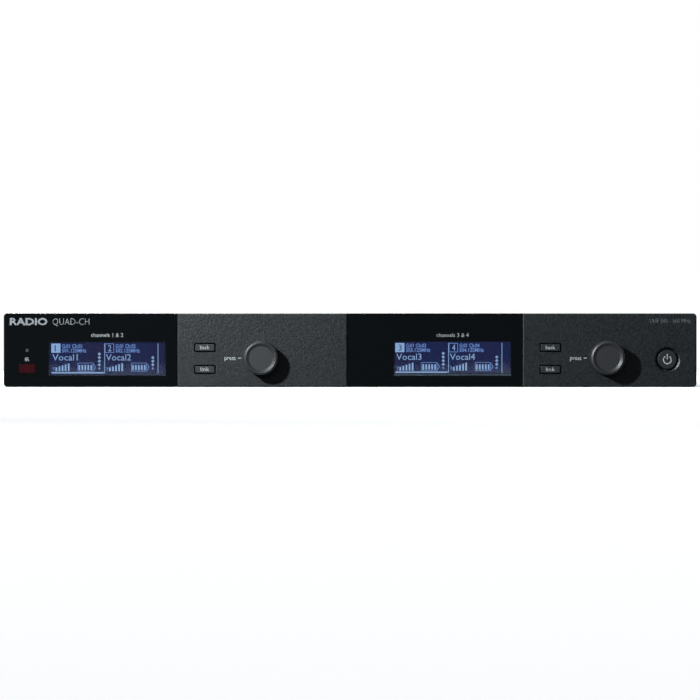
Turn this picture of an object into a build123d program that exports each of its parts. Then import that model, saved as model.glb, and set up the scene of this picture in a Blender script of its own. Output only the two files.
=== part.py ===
from build123d import *
import os
from math import cos, radians, sin

# Four-channel wireless receiver, one rack unit high, as an assembly of separate pieces.
# The front faces -Y, +X is to the right seen from the front, and the case stands on z = 0.
# The origin is the middle of the footprint of fascia and case. All sizes are in millimetres.

# ---------------------------------------------------------------- overall sizes
case_width = 414.0
case_height = 44.0
case_depth = 287.0  # from the keypad faces to the rear panel's outer face
sheet = 1.2  # steel sheet of the base, the cover and the front bracket
rear_sheet = 1.5
case_step = 0.5  # the steel case is this much smaller than the fascia at the sides and top
slip = 0.1  # gap between pieces that are assembled side by side

front_y = -case_depth / 2
rear_y = case_depth / 2

# ---------------------------------------------------------------- fascia
fascia_depth = 16.0
fascia_wall = 2.0
floor_thickness = 2.0
window_setback = 0.5  # the windows lie this far behind the keypad faces
window_thickness = 1.6
mask_thickness = 0.4
corner_radius = 2.1
pad_round = 0.8
window_round = 0.4

# Widths of the first three of the four front zones. The right keypad takes the rest.
display_view_width = 70.0
display_view_height = 20.3
infrared_margin = 26.8  # left of the left display, for the infrared window
right_window_margin = 27.8  # left of the right display
display_side_margin = 6.7  # right of either display
left_keypad_width = 101.9

floor_front = window_setback + window_thickness + mask_thickness
floor_back = floor_front + floor_thickness

left_edge = -case_width / 2
right_edge = case_width / 2
left_keypad_start = left_edge + infrared_margin + display_view_width + display_side_margin
right_window_start = left_keypad_start + left_keypad_width
right_keypad_start = right_window_start + right_window_margin + display_view_width + display_side_margin
keypad_starts = {"left": left_keypad_start, "right": right_keypad_start}
window_spans = {
    "left": (left_edge, left_keypad_start),
    "right": (right_window_start, right_keypad_start),
}
keypad_spans = {
    "left": (left_keypad_start, right_window_start),
    "right": (right_keypad_start, right_edge),
}

# ---------------------------------------------------------------- displays
display_z = 16.9
display_x = {
    side: span[1] - display_side_margin - display_view_width / 2 for side, span in window_spans.items()
}
module_lift = {"left": 0.0, "right": 1.1}  # the right module sits a little high in its mask
frame_lip = 0.4
frame_side = 4.3  # steel frame beyond the view, left and right
frame_end = 2.9  # steel frame beyond the view, above and below
frame_overhang = 0.3  # the frame's opening is this much larger than the mask's
frame_depth = 4.4
frame_wall = 0.4
frame_corner = 0.6
module_gap = 0.7  # around the steel frame, in the fascia's floor
glass_thickness = 2.2
glass_front = floor_front + slip + frame_lip
glass_back = glass_front + glass_thickness

# ---------------------------------------------------------------- front controls
control_z = 17.3  # knob axis
knob_offset = 50.4  # knob axis from the start of its keypad
key_offset = 16.7  # key centre from the start of its keypad
key_levels = {"back": 23.6, "link": 10.5}
key_width = 11.6
key_height = 4.2
key_gap = 0.7
key_proud = 0.9
key_corner = 0.7
key_edge_round = 0.35
key_flange = 1.7  # how far the flange behind the fascia reaches past the cap
flange_thickness = 0.8
flange_corner = 0.8
flange_gap = 0.2
flange_front = floor_back + flange_gap
flange_back = flange_front + flange_thickness
switch_travel = 0.5
stem_radius = 1.7

shaft_radius = 3.0
shaft_flat = 1.5  # depth of the flat on the D-shaped end
shaft_fit = 0.03  # between shaft and knob
running_gap = 0.05  # between shaft and bushing
bushing_wall = 0.45
bushing_radius = shaft_radius + running_gap + bushing_wall
bushing_gap = 0.25  # between bushing and fascia
bushing_proud = 0.3

knob_base_radius = 10.3
knob_rim_radius = 10.05
knob_crest_radius = 8.85  # the rim's foremost line, between the dish and the outer bevel
knob_crest_width = 0.2
knob_face_radius = 7.1  # flat floor of the dished face
knob_bevel_depth = 0.5
knob_crest_round = 0.3
knob_edge_round = 0.3
knob_height = 13.0
knob_gap = 0.8
knob_dish = 0.8
knob_wall = 1.9
knob_skin = 1.4  # left in front of the blind bore
knob_hub_wall = 1.6
knob_hub_radius = shaft_radius + knob_hub_wall
knob_hub_setback = 1.4  # the hub ends this far inside the skirt
flat_end = knob_gap + 3.0  # the shaft's flat runs from its tip to here, in front of the keypad

encoder_side = 12.4
encoder_depth = 5.3
encoder_wall = 0.9
encoder_back_wall = 0.4
rotor_shoulder = 1.8
rotor_radius = shaft_radius + rotor_shoulder
rotor_gap = 0.3
rotor_play = 0.1
rotor_thickness = 1.2
plunger_radius = 2.2
plunger_thickness = 0.8

power_x = right_edge - 17.6
power_z = 16.5
power_cap_radius = 5.7
power_gap = 1.15
power_chamfer_width = 0.9
power_chamfer_depth = 0.45
power_proud = 0.35
power_edge_round = 0.4
power_flange = 1.2  # how far its flange reaches past the hole

infrared_x = left_edge + 14.0
infrared_z = 11.0
infrared_width = 9.6
infrared_height = 5.2
infrared_ledge = 1.0
infrared_corner = 0.4
infrared_edge_round = 0.12
pipe_z = 21.8
pipe_radius = 0.95
pipe_foot = 0.8  # how far the pipe's foot reaches past its rod
pipe_recess = 0.15

# ---------------------------------------------------------------- front board
board_gap = 6.0  # free depth between the fascia floor and the front board
board_thickness = 1.6
board_front = floor_back + board_gap
board_back = board_front + board_thickness
board_margin = 2.0  # between the front board and the fascia's wall
board_post_gap = 0.5  # around the long posts that pass through it
switch_side = 6.0
switch_depth = 3.3
switch_bore_depth = 2.2
switch_front = board_front - switch_depth
stem_play = 0.4  # between a released stem and the switch's contact
stem_end = switch_front + switch_bore_depth - switch_travel - stem_play
post_radius = 3.4
board_post_radius = 3.0
post_inset = 7.0  # from the ends of the fascia to its outer posts
pilot_depth = 8.0
board_pilot_depth = 5.0

# ---------------------------------------------------------------- steel case
case_half = case_width / 2 - case_step
case_top = case_height - case_step
case_front_s = fascia_depth  # the case starts where the fascia's skirt ends
bend_radius = 1.4
lip = 12.0
screw_radius = 1.5
screw_head_radius = 2.8
recess_length = 3.0
recess_width = 0.7
recess_depth = 0.7
pilot_radius = screw_radius + 0.05
screw_end_gap = 1.2  # a screw ends this far from the bottom of its pilot hole
post_z = {
    "top": case_top - 2 * sheet - screw_head_radius - 0.9,
    "bottom": 2 * sheet + screw_head_radius + 0.4,  # the screws' heads clear the bracket's lips
}
clearance = 0.15
cover_lip = 10.0  # the cover's side lips reach this far below its top
lip_end_gap = 1.0  # between the ends of the cover's lips and the cross sheets' lips
lip_side_gap = 4.0  # between the cross sheets' lips and the cover's lips
vent_width = 2.6
side_vent_height = 20.0
side_vents = 14
side_vent_pitch = 6.0
side_vent_start = 34.0  # from the rear
lid_vent_length = 26.0
lid_vents = 9
lid_vent_pitch = 7.0
lid_vent_inset = 18.0
lid_vent_rows = (62.0, 96.0)  # from the rear
rear_vents = 4
rear_vent_inset = 18.1  # from the left edge to the first rear vent
rear_vent_span = (10.0, 34.0)
ear_hole_radius = 2.1
ear_nut_radius = 3.9
ear_nut_height = 1.6
ear_spacing_y = 32.0
ear_spacing_z = 20.0
ear_offset = 40.0  # centre of the ear holes behind the keypad faces
ear_z = 19.0

# ---------------------------------------------------------------- boards inside the case
standoff_height = 5.0
standoff_radius = 3.0
hole_inset = 6.0  # standoffs from the main board's edges
supply_hole_inset = 5.0
supply_width = 62.0
supply_side_gap = 4.0
supply_front = 62.0  # from the front bracket to the supply board
supply_rear = 50.0  # from the supply board to the rear panel
board_spacing = 5.3  # between the main board and the supply board
board_side_gap = 8.0
board_front_gap = 4.0
board_rear_gap = 1.5
inner_half = case_half - sheet
board_z = sheet + standoff_height
board_top = board_z + board_thickness
case_front = front_y + case_front_s
panel_front = rear_y - rear_sheet
supply_x = (inner_half - supply_side_gap - supply_width, inner_half - supply_side_gap)
supply_y = (case_front + sheet + supply_front, panel_front - supply_rear)
main_board_front = case_front + sheet + lip + board_front_gap
main_board_rear = panel_front - board_rear_gap
main_board_left = -inner_half + board_side_gap
main_board_right = supply_x[0] - board_spacing

# ---------------------------------------------------------------- rear connectors
socket_z = 21.8
audio_pitch = 43.0
first_xlr_x = main_board_right - 98.0
jack_step = 21.5  # each phone jack sits this far towards -X from its XLR
channels = 4
xlr_x = [first_xlr_x - n * audio_pitch for n in range(channels)]
jack_x = [x - jack_step for x in xlr_x]
xlr_flange_width = 26.0
xlr_flange_height = 31.0
xlr_flange_thickness = 2.0
xlr_cup_radius = 9.5
xlr_shell_radius = 11.7
xlr_depth = 16.0
xlr_disc = 4.0
xlr_body_depth = 9.0
xlr_pin_radius = 1.2
xlr_pin_circle = 4.5
xlr_screw_x = 9.5
xlr_screw_z = 12.0
jack_bore_radius = 3.25
jack_bore_depth = 28.0
jack_bush_radius = 5.4
jack_bush_proud = 4.4
jack_nut_radius = jack_bush_radius + 2.0
nut_thickness = 2.6
nut_fit = 0.02
body_above_socket = 9.0  # the jack and XLR bodies reach this far above their axes
panel_gap = 0.1  # between a connector's body and the rear panel
jack_width = 15.0
antenna_z = 16.2
antenna_x = [
    main_board_right - 54.0, main_board_right - 74.0,
    main_board_left + 57.3, main_board_left + 37.3,
]
antenna_radius = 4.8
antenna_wall = 0.75
antenna_thread_radius = antenna_radius + 1.3
antenna_thread_length = 4.0
antenna_nut_radius = antenna_radius + 3.2
antenna_length = 12.0
antenna_body = 7.2  # half the side of its block on the board
antenna_body_depth = 12.0
network_x = main_board_right - 22.0
network_port_width = 11.9
network_port_height = 8.4
network_port_pitch = 15.2
network_depth = 18.0
network_shell_depth = 21.0
network_half = network_port_pitch + 0.3  # half the width of the shell around both ports
network_gap = 0.3
network_z = board_top + 7.8
network_port_lift = 1.2
network_latch_half = 3.2
network_latch_depth = 1.4
network_shell_top = network_z + 6.6
inlet_x = right_edge - 25.0
inlet_z = 21.8
inlet_flange_width = 31.0
inlet_flange_height = 24.4
inlet_cavity_width = 24.4
inlet_cavity_height = 16.8
inlet_cavity_depth = 16.5
inlet_corner = 5.5  # the cavity's two cut lower corners
inlet_wall = 1.4
inlet_gap = 0.3
blade_places = ((-7.0, -2.0), (7.0, -2.0), (0.0, 2.6))
blade_back = rear_y - inlet_cavity_depth - 9.0

# ---------------------------------------------------------------- wiring
ribbon_width = 24.0
ribbon_thickness = 0.4
ribbon_x = -18.0
ribbon_z = 14.0
plug_height = 2.6
plug_side = 1.5  # ribbon plug beyond the ribbon, left and right

parts = {}


# ---------------------------------------------------------------- helpers
def block(x0, x1, y0, y1, z0, z1):
    """A box between two corners."""
    return Pos((x0 + x1) / 2, (y0 + y1) / 2, (z0 + z1) / 2) * Box(x1 - x0, y1 - y0, z1 - z0)


def front_block(x, z, width, height, s0, s1):
    """A box centred at x, z that runs from s0 to s1 behind the keypad faces."""
    return block(x - width / 2, x + width / 2, front_y + s0, front_y + s1, z - height / 2, z + height / 2)


def rounded_block(x, z, width, height, s0, s1, radius):
    """The same with its four edges along Y rounded."""
    bar = front_block(x, z, width, height, s0, s1)
    return fillet(bar.edges().filter_by(Axis.Y), radius)


def along_y(x, z, radius, y0, y1):
    """A cylinder along Y."""
    return Pos(x, (y0 + y1) / 2, z) * Rot(90, 0, 0) * Cylinder(radius, y1 - y0)


def front_rod(x, z, radius, s0, s1):
    """A cylinder along Y that runs from s0 to s1 behind the keypad faces."""
    return along_y(x, z, radius, front_y + s0, front_y + s1)


def along_z(x, y, radius, z0, z1):
    """A cylinder along Z."""
    return Pos(x, y, (z0 + z1) / 2) * Cylinder(radius, z1 - z0)


def along_x(y, z, radius, x0, x1):
    """A cylinder along X."""
    return Pos((x0 + x1) / 2, y, z) * Rot(0, 90, 0) * Cylinder(radius, x1 - x0)


def front_zone(span, s0, s1, edge_round):
    """A full-height slab of the front between two x values, rounded like the fascia at its outer corners."""
    x0, x1 = span
    slab = block(x0, x1, front_y + s0, front_y + s1, 0, case_height)
    for side, x in ((left_edge, x0), (right_edge, x1)):
        if abs(x - side) < 1e-6:
            corners = slab.edges().filter_by(Axis.Y).filter_by_position(Axis.X, x - 0.01, x + 0.01)
            slab = fillet(corners, corner_radius)
    return fillet(slab.faces().sort_by(Axis.Y)[0].edges(), edge_round)


def group(pieces):
    """Several separate solids in one node."""
    return Compound(children=[p if isinstance(p, Solid) else p.solid() for p in pieces])


def placed(shape, point, direction):
    """The shape with its own +Z turned to a direction, at a point."""
    return Plane(origin=point, z_dir=direction).location * shape


def cross_recess(z):
    """The cross that a driver fits, cut down from z."""
    bar = Box(recess_length, recess_width, 2 * recess_depth)
    return Pos(0, 0, z) * (bar + Rot(0, 0, 90) * bar)


def flat_head_screw(length):
    """A countersunk screw with its head's flat face at z = 0 and a cross recess, pointing down -Z."""
    head = Pos(0, 0, -sheet / 2) * Cone(screw_radius, screw_head_radius, sheet)
    screw = head + Pos(0, 0, -length / 2) * Cylinder(screw_radius, length)
    return screw - cross_recess(0)


def flat_head_hole(length):
    """What a countersunk screw needs cut out of the sheets."""
    gap = clearance
    head = Pos(0, 0, -sheet / 2) * Cone(screw_radius + gap, screw_head_radius + gap, sheet)
    return head + Pos(0, 0, -length / 2) * Cylinder(screw_radius + gap, length + 1)


def pan_head_screw(length):
    """A pan-head screw with the underside of its head at z = 0, pointing down -Z."""
    head_height = 1.8
    head = Pos(0, 0, head_height / 2) * Cylinder(screw_head_radius, head_height)
    head = fillet(head.edges().sort_by(Axis.Z)[-1], head_height * 0.4)
    shank = Pos(0, 0, -length / 2) * Cylinder(screw_radius, length)
    return head + shank - cross_recess(head_height)


# ---------------------------------------------------------------- fascia and windows
def fascia_posts():
    """x, z of the long posts that carry the fascia on the front bracket."""
    columns = [left_edge + post_inset, right_window_start - 13.0, right_edge - post_inset]
    return [(x, z) for x in columns for z in post_z.values()]


def board_posts():
    """x, z of the short posts that carry the front board."""
    columns = [
        left_keypad_start + 5.4, right_window_start - 29.9,
        right_window_start + 11.5, right_keypad_start + 5.2,
    ]
    return [(x, z) for x in columns for z in post_z.values()]


def switch_places():
    """x, z of every push switch on the front board."""
    keys = [(start + key_offset, z) for start in keypad_starts.values() for z in key_levels.values()]
    return keys + [(power_x, power_z)]


def front_fascia():
    """Moulded fascia: a floor plate with a skirt, two raised textured keypads and posts behind."""
    slab = block(left_edge, right_edge, front_y + floor_front, front_y + fascia_depth, 0, case_height)
    slab = fillet(slab.edges().filter_by(Axis.Y), corner_radius)
    hollow = block(
        left_edge + fascia_wall, right_edge - fascia_wall,
        front_y + floor_back, front_y + fascia_depth,
        fascia_wall, case_height - fascia_wall,
    )
    pads = []
    for x0, x1 in keypad_spans.values():
        start = x0 + slip
        end = x1 if x1 == right_edge else x1 - slip
        pads.append(front_zone((start, end), 0, floor_front, pad_round))
    posts = [front_rod(x, z, post_radius, floor_back, fascia_depth) for x, z in fascia_posts()]
    posts += [front_rod(x, z, board_post_radius, floor_back, board_front) for x, z in board_posts()]
    return (slab - hollow).fuse(*pads).fuse(*posts) - front_openings()


def front_openings():
    """Everything cut through the fascia's floor and keypads."""
    cuts = []
    for side, x in display_x.items():
        cuts.append(
            front_block(
                x, display_z + module_lift[side],
                display_view_width + 2 * (frame_side + module_gap),
                display_view_height + 2 * (frame_end + module_gap),
                floor_front, floor_back,
            )
        )
    for start in keypad_starts.values():
        for z in key_levels.values():
            cuts.append(
                rounded_block(
                    start + key_offset, z, key_width + 2 * key_gap, key_height + 2 * key_gap,
                    -1, floor_back, key_corner + key_gap * 0.4,
                )
            )
        cuts.append(front_rod(start + knob_offset, control_z, bushing_radius + bushing_gap, -1, floor_back))
    hole = power_cap_radius + power_gap
    cuts.append(front_rod(power_x, power_z, hole, -1, floor_back))
    well = Rot(90, 0, 0) * Cone(hole, hole + power_chamfer_width, power_chamfer_depth)
    cuts.append(Pos(power_x, front_y + power_chamfer_depth / 2, power_z) * well)
    cuts.append(front_rod(infrared_x, pipe_z, pipe_radius + slip, floor_front, floor_back))
    cuts.append(
        front_block(
            infrared_x, infrared_z, infrared_width - 2 * infrared_ledge, infrared_height - 2 * infrared_ledge,
            floor_front, floor_back,
        )
    )
    for x, z in fascia_posts():
        cuts.append(front_rod(x, z, pilot_radius, fascia_depth - pilot_depth, fascia_depth))
    for x, z in board_posts():
        cuts.append(front_rod(x, z, pilot_radius, board_front - board_pilot_depth, board_front))
    return cuts


def status_cuts(s0, s1):
    """The light pipe's hole and the infrared window's pocket through one layer of the left window."""
    return [
        front_rod(infrared_x, pipe_z, pipe_radius + slip, s0, s1),
        rounded_block(
            infrared_x, infrared_z, infrared_width + 2 * slip, infrared_height + 2 * slip,
            s0, s1, infrared_corner + slip,
        ),
    ]


def display_window(side):
    """Clear acrylic over one display zone, from the bottom edge of the front to the top."""
    back = window_setback + window_thickness
    pane = front_zone(window_spans[side], window_setback, back, window_round)
    return pane - status_cuts(0, back) if side == "left" else pane


def window_mask(side):
    """Black mask behind a window, open over the display."""
    mask = front_zone(window_spans[side], floor_front - mask_thickness, floor_front, mask_thickness / 4)
    cuts = [front_block(display_x[side], display_z, display_view_width, display_view_height, 0, floor_front)]
    if side == "left":
        cuts += status_cuts(0, floor_front)
    return mask - cuts


def infrared_window():
    """Deep red filter in front of the infrared transceiver."""
    pane = rounded_block(
        infrared_x, infrared_z, infrared_width, infrared_height, window_setback, floor_front, infrared_corner,
    )
    return fillet(pane.faces().sort_by(Axis.Y)[0].edges(), infrared_edge_round)


def status_light_pipe():
    """Clear rod that brings the status light to the front."""
    head = front_rod(infrared_x, pipe_z, pipe_radius, window_setback - pipe_recess, board_front)
    foot = front_rod(infrared_x, pipe_z, pipe_radius + pipe_foot, floor_back + slip, board_front)
    return head + foot


# ---------------------------------------------------------------- displays
def lcd_frame(side):
    """Folded steel frame around one display module, with a lip over its glass."""
    x, z = display_x[side], display_z + module_lift[side]
    width = display_view_width + 2 * frame_side
    height = display_view_height + 2 * frame_end
    s0 = floor_front + slip
    frame = rounded_block(x, z, width, height, s0, s0 + frame_depth, frame_corner)
    inside = front_block(
        x, z, width - 2 * frame_wall, height - 2 * frame_wall, s0 + frame_lip, s0 + frame_depth,
    )
    view = front_block(
        x, z, display_view_width + 2 * frame_overhang, display_view_height + 2 * frame_overhang,
        0, s0 + frame_lip,
    )
    return frame - [inside, view]


def lcd_inside(side, s0, s1):
    """A slab that fills the display frame's inside from s0 to s1."""
    return front_block(
        display_x[side], display_z + module_lift[side],
        display_view_width + 2 * (frame_side - frame_wall - slip),
        display_view_height + 2 * (frame_end - frame_wall - slip),
        s0, s1,
    )


# ---------------------------------------------------------------- keys and knobs
def key(x, z):
    """Flat key: a cap through the fascia, a flange behind it and a stem to its switch."""
    cap = rounded_block(x, z, key_width, key_height, -key_proud, flange_front, key_corner)
    cap = fillet(cap.faces().sort_by(Axis.Y)[0].edges(), key_edge_round)
    flange = rounded_block(
        x, z, key_width + 2 * key_flange, key_height + 2 * key_flange,
        flange_front, flange_back, flange_corner,
    )
    return cap + flange + front_rod(x, z, stem_radius, flange_front, stem_end)


def power_button():
    """Round power key in a chamfered well."""
    cap = front_rod(power_x, power_z, power_cap_radius, -power_proud, flange_front)
    cap = fillet(cap.faces().sort_by(Axis.Y)[0].edges(), power_edge_round)
    flange_radius = power_cap_radius + power_gap + power_flange
    flange = front_rod(power_x, power_z, flange_radius, flange_front, flange_back)
    return cap + flange + front_rod(power_x, power_z, stem_radius, flange_front, stem_end)


def push_switch(x, z):
    """Push switch on the front board, with a bore that the key's stem works in."""
    body = front_block(x, z, switch_side, switch_side, switch_front, board_front)
    return body - front_rod(x, z, stem_radius + slip, switch_front, switch_front + switch_bore_depth)


encoder_front = board_front - encoder_depth
encoder_inside = encoder_front + encoder_wall
rotor_front = encoder_inside + rotor_play
rotor_back = rotor_front + rotor_thickness
shaft_end = rotor_back + 0.2
shaft_tip = -knob_height + knob_dish + knob_skin + slip


def encoder_housing(x):
    """Encoder body on the front board, with the bushing that guides its shaft."""
    body = front_block(x, control_z, encoder_side, encoder_side, encoder_front, board_front)
    body = body + front_rod(x, control_z, bushing_radius, -bushing_proud, encoder_inside)
    chamber = front_rod(
        x, control_z, rotor_radius + rotor_gap, encoder_inside, board_front - encoder_back_wall,
    )
    bore = front_rod(x, control_z, shaft_radius + running_gap, -1, encoder_inside)
    return body - [chamber, bore]


def encoder_shaft(x):
    """Steel shaft with a D-shaped end, and the detent rotor behind it."""
    shaft = front_rod(x, control_z, shaft_radius, shaft_tip, shaft_end)
    flat = front_block(
        x, control_z + shaft_radius, 2 * shaft_radius, 2 * shaft_flat, shaft_tip - 1, -flat_end,
    )
    return (shaft - flat) + front_rod(x, control_z, rotor_radius, rotor_front, rotor_back)


def encoder_plunger(x):
    """Push plunger behind the shaft, which works the select switch."""
    front = shaft_end + running_gap
    return front_rod(x, control_z, plunger_radius, front, front + plunger_thickness)


def knob(x):
    """Knob with a dished face and a bevelled rim, hollow behind, on a D-bored hub."""
    tip = front_y - knob_height
    base = front_y - knob_gap
    dish = tip + knob_dish
    roof = dish + knob_wall
    hub_end = base - knob_hub_setback
    half_crest = knob_crest_width / 2
    outline = Polyline(
        (0, dish), (knob_face_radius, dish),
        (knob_crest_radius - half_crest, tip), (knob_crest_radius + half_crest, tip),
        (knob_rim_radius, tip + knob_bevel_depth),
        (knob_base_radius, base), (knob_base_radius - knob_wall, base),
        (knob_rim_radius - knob_wall, roof), (knob_hub_radius, roof),
        (knob_hub_radius, hub_end), (0, hub_end),
        close=True,
    )
    section = make_face(outline)
    section = fillet(section.vertices().sort_by(Axis.Y)[:2], knob_crest_round)
    section = fillet(section.vertices().sort_by(Axis.X)[-2:], knob_edge_round)
    body = Pos(x, 0, control_z) * revolve(section, Axis.Y)
    bore_radius = shaft_radius + shaft_fit
    bore = front_rod(x, control_z, bore_radius, shaft_tip - slip, 0)
    flat = front_block(
        x, control_z + bore_radius, 4 * bore_radius, 2 * shaft_flat, -knob_height, -flat_end - slip,
    )
    return body - (bore - flat)


# ---------------------------------------------------------------- front board
def front_board():
    """Board behind the fascia that carries displays, encoders, switches and lights."""
    inset = fascia_wall + board_margin
    half = case_width / 2 - fascia_wall - 1.0
    board = block(-half, half, front_y + board_front, front_y + board_back, inset, case_height - inset)
    post_hole, screw_hole = post_radius + board_post_gap, screw_radius + clearance
    cuts = [front_rod(x, z, post_hole, board_front, board_back) for x, z in fascia_posts()]
    cuts += [front_rod(x, z, screw_hole, board_front, board_back) for x, z in board_posts()]
    return board - cuts


def infrared_transceiver():
    """Infrared transceiver with two lenses, on the front board behind its window."""
    width, height, depth = 8.6, 4.2, 3.4
    lens_radius = 1.5
    face = board_front - depth
    body = front_block(infrared_x, infrared_z, width, height, face, board_front)
    for step in (-width / 4, width / 4):
        body = body + Pos(infrared_x + step, front_y + face, infrared_z) * Sphere(lens_radius)
    return body


# ---------------------------------------------------------------- steel case
def slot_z(x, y, width, length, z0, z1):
    """A round-ended slot along Y, cut from z0 to z1."""
    bar = block(x - width / 2, x + width / 2, y - length / 2, y + length / 2, z0, z1)
    return fillet(bar.edges().filter_by(Axis.Z), width / 2 - 0.01)


def slot_x(y, z, width, height, x0, x1):
    """A round-ended upright slot, cut from x0 to x1."""
    bar = block(x0, x1, y - width / 2, y + width / 2, z - height / 2, z + height / 2)
    return fillet(bar.edges().filter_by(Axis.X), width / 2 - 0.01)


case_length = rear_y - case_front
side_screw_inset = 26.0
side_screw_y = [case_front + side_screw_inset + n * (case_length / 2 - side_screw_inset) for n in range(3)]
side_screw_z = case_top - sheet - cover_lip / 2
lid_screw_inset = 24.0
lid_screw_x = [-inner_half + lid_screw_inset, 0.0, inner_half - lid_screw_inset]
lid_screw_y = [case_front + sheet + lip / 2, panel_front - lip / 2]
screw_hole_depth = 4.0
side_vent_y = [rear_y - side_vent_start - n * side_vent_pitch for n in range(side_vents)]
side_vent_z = ear_z + 1.0
ear_holes = [
    (front_y + ear_offset + i * ear_spacing_y / 2, ear_z + j * ear_spacing_z / 2)
    for i in (-1, 1) for j in (-1, 1)
]


def side_screw_places():
    """Point and outward direction of every case screw in the two sides."""
    return [((sign * case_half, y, side_screw_z), (sign, 0, 0)) for sign in (-1, 1) for y in side_screw_y]


def top_screw_places():
    """Point and outward direction of every case screw in the lid."""
    return [((x, y, case_top), (0, 0, 1)) for x in lid_screw_x for y in lid_screw_y]


def bottom_screw_places():
    """Point and outward direction of every case screw in the bottom."""
    return [((x, y, 0), (0, 0, -1)) for x in lid_screw_x for y in lid_screw_y]


def chassis_base():
    """Folded tray: the bottom and both full-height sides of the case."""
    tray = block(-case_half, case_half, case_front, rear_y, 0, case_top - sheet)
    long_edges = tray.edges().filter_by(Axis.Y).filter_by_position(Axis.Z, -0.01, 0.01)
    tray = fillet(long_edges, bend_radius)
    hollow = block(-inner_half, inner_half, case_front, rear_y, sheet, case_top - sheet)
    cuts = [hollow]
    for sign in (-1, 1):
        x0, x1 = sorted((sign * (inner_half - 1), sign * (case_half + 1)))
        cuts += [slot_x(y, side_vent_z, vent_width, side_vent_height, x0, x1) for y in side_vent_y]
        cuts += [along_x(y, z, ear_hole_radius, x0, x1) for y, z in ear_holes]
    hole = flat_head_hole(screw_hole_depth)
    cuts += [placed(hole, *place) for place in side_screw_places() + bottom_screw_places()]
    return tray - cuts


def top_cover():
    """Flat lid with two side lips that tuck inside the base, and rows of vent slots."""
    lid = block(-case_half, case_half, case_front, rear_y, case_top - sheet, case_top)
    top_edges = lid.edges().filter_by(Axis.Y).filter_by_position(Axis.Z, case_top - 0.01, case_top + 0.01)
    lid = fillet(top_edges, sheet * 0.6)
    lips = []
    lip_front = case_front + sheet + lip + lip_end_gap
    lip_rear = panel_front - lip - lip_end_gap
    for sign in (-1, 1):
        x0, x1 = sorted((sign * (inner_half - slip), sign * (inner_half - slip - sheet)))
        lips.append(block(x0, x1, lip_front, lip_rear, case_top - cover_lip, case_top - sheet))
    cover = lid.fuse(*lips)
    cuts = [placed(flat_head_hole(screw_hole_depth), *place) for place in top_screw_places()]
    cuts += [placed(flat_head_hole(screw_hole_depth + sheet), *place) for place in side_screw_places()]
    slot_x0 = inner_half - lid_vent_inset
    for row in lid_vent_rows:
        for n in range(lid_vents):
            x = slot_x0 - n * lid_vent_pitch
            cuts.append(slot_z(x, rear_y - row, vent_width, lid_vent_length, case_top - sheet, case_top))
    return cover - cuts


def cross_sheet(y0, y1, lip_to):
    """An upright sheet across the case with a top and a bottom lip, folded towards lip_to."""
    half = inner_half - slip
    low, high = sheet, case_top - sheet
    wall = block(-half, half, y0, y1, low, high)
    lip_y = sorted((lip_to, y0 if lip_to < y0 else y1))
    # The lips stop short of the sides, where the cover's own lips pass.
    reach = half - sheet - lip_side_gap
    lower = block(-reach, reach, lip_y[0], lip_y[1], low, low + sheet)
    upper = block(-reach, reach, lip_y[0], lip_y[1], high - sheet, high)
    return wall.fuse(lower, upper)


def lip_holes(y):
    """Holes in the lips of a cross sheet, for the screws through lid and base."""
    return [along_z(x, y, screw_radius + clearance, 0, case_top) for x in lid_screw_x]


def front_bracket():
    """Upright sheet that closes the case's front and carries the fascia."""
    y0, y1 = case_front, case_front + sheet
    wall = cross_sheet(y0, y1, y1 + lip)
    cuts = lip_holes(lid_screw_y[0])
    cuts += [along_y(x, z, screw_radius + clearance, y0, y1) for x, z in fascia_posts()]
    x0, x1 = ribbon_x - ribbon_width / 2 - 4.0, ribbon_x + ribbon_width / 2 + 4.0
    cuts.append(block(x0, x1, y0, y1, ribbon_z - 6.0, ribbon_z + 6.0))
    return wall - cuts


def rear_panel():
    """Rear panel with all connector cut-outs and a folded lip above and below."""
    y0, y1 = panel_front, rear_y
    panel = cross_sheet(y0, y1, y0 - lip)
    cuts = lip_holes(lid_screw_y[1])
    cuts += [along_y(x, socket_z, xlr_shell_radius + slip, y0, y1) for x in xlr_x]
    cuts += [along_y(x, z, screw_radius + clearance, y0, y1) for x, z in xlr_screw_places()]
    cuts += [along_y(x, socket_z, jack_bush_radius + slip, y0, y1) for x in jack_x]
    cuts += [along_y(x, antenna_z, antenna_thread_radius + slip, y0, y1) for x in antenna_x]
    x0, x1 = network_x - network_half - network_gap, network_x + network_half + network_gap
    cuts.append(block(x0, x1, y0, y1, board_top - network_gap, network_shell_top + network_gap))
    half_width = inlet_cavity_width / 2 + inlet_wall + inlet_gap
    half_height = inlet_cavity_height / 2 + inlet_wall + inlet_gap
    x0, x1 = inlet_x - half_width, inlet_x + half_width
    cuts.append(block(x0, x1, y0, y1, inlet_z - half_height, inlet_z + half_height))
    for n in range(rear_vents):
        x = left_edge + rear_vent_inset + n * side_vent_pitch
        bar = block(x - vent_width / 2, x + vent_width / 2, y0, y1, *rear_vent_span)
        cuts.append(fillet(bar.edges().filter_by(Axis.Y), vent_width / 2 - 0.01))
    return panel - cuts


def ear_nut(sign, y, z):
    """Clinch nut behind one rack-ear hole."""
    x0, x1 = sorted((sign * inner_half, sign * (inner_half - ear_nut_height)))
    return along_x(y, z, ear_nut_radius, x0, x1) - along_x(y, z, ear_hole_radius, x0, x1)


# ---------------------------------------------------------------- boards inside
def main_board_holes():
    """x, y of the main board's standoffs: four columns in two rows."""
    first = main_board_left + hole_inset
    step = (main_board_right - hole_inset - first) / 3
    rows = (main_board_front + hole_inset, main_board_rear - 43.0)
    return [(first + n * step, y) for n in range(4) for y in rows]


def supply_board_holes():
    """x, y of the power supply board's standoffs, one in each corner."""
    inset = supply_hole_inset
    rows = (supply_y[0] + inset, supply_y[1] - inset)
    return [(x, y) for x in (supply_x[0] + inset, supply_x[1] - inset) for y in rows]


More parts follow.
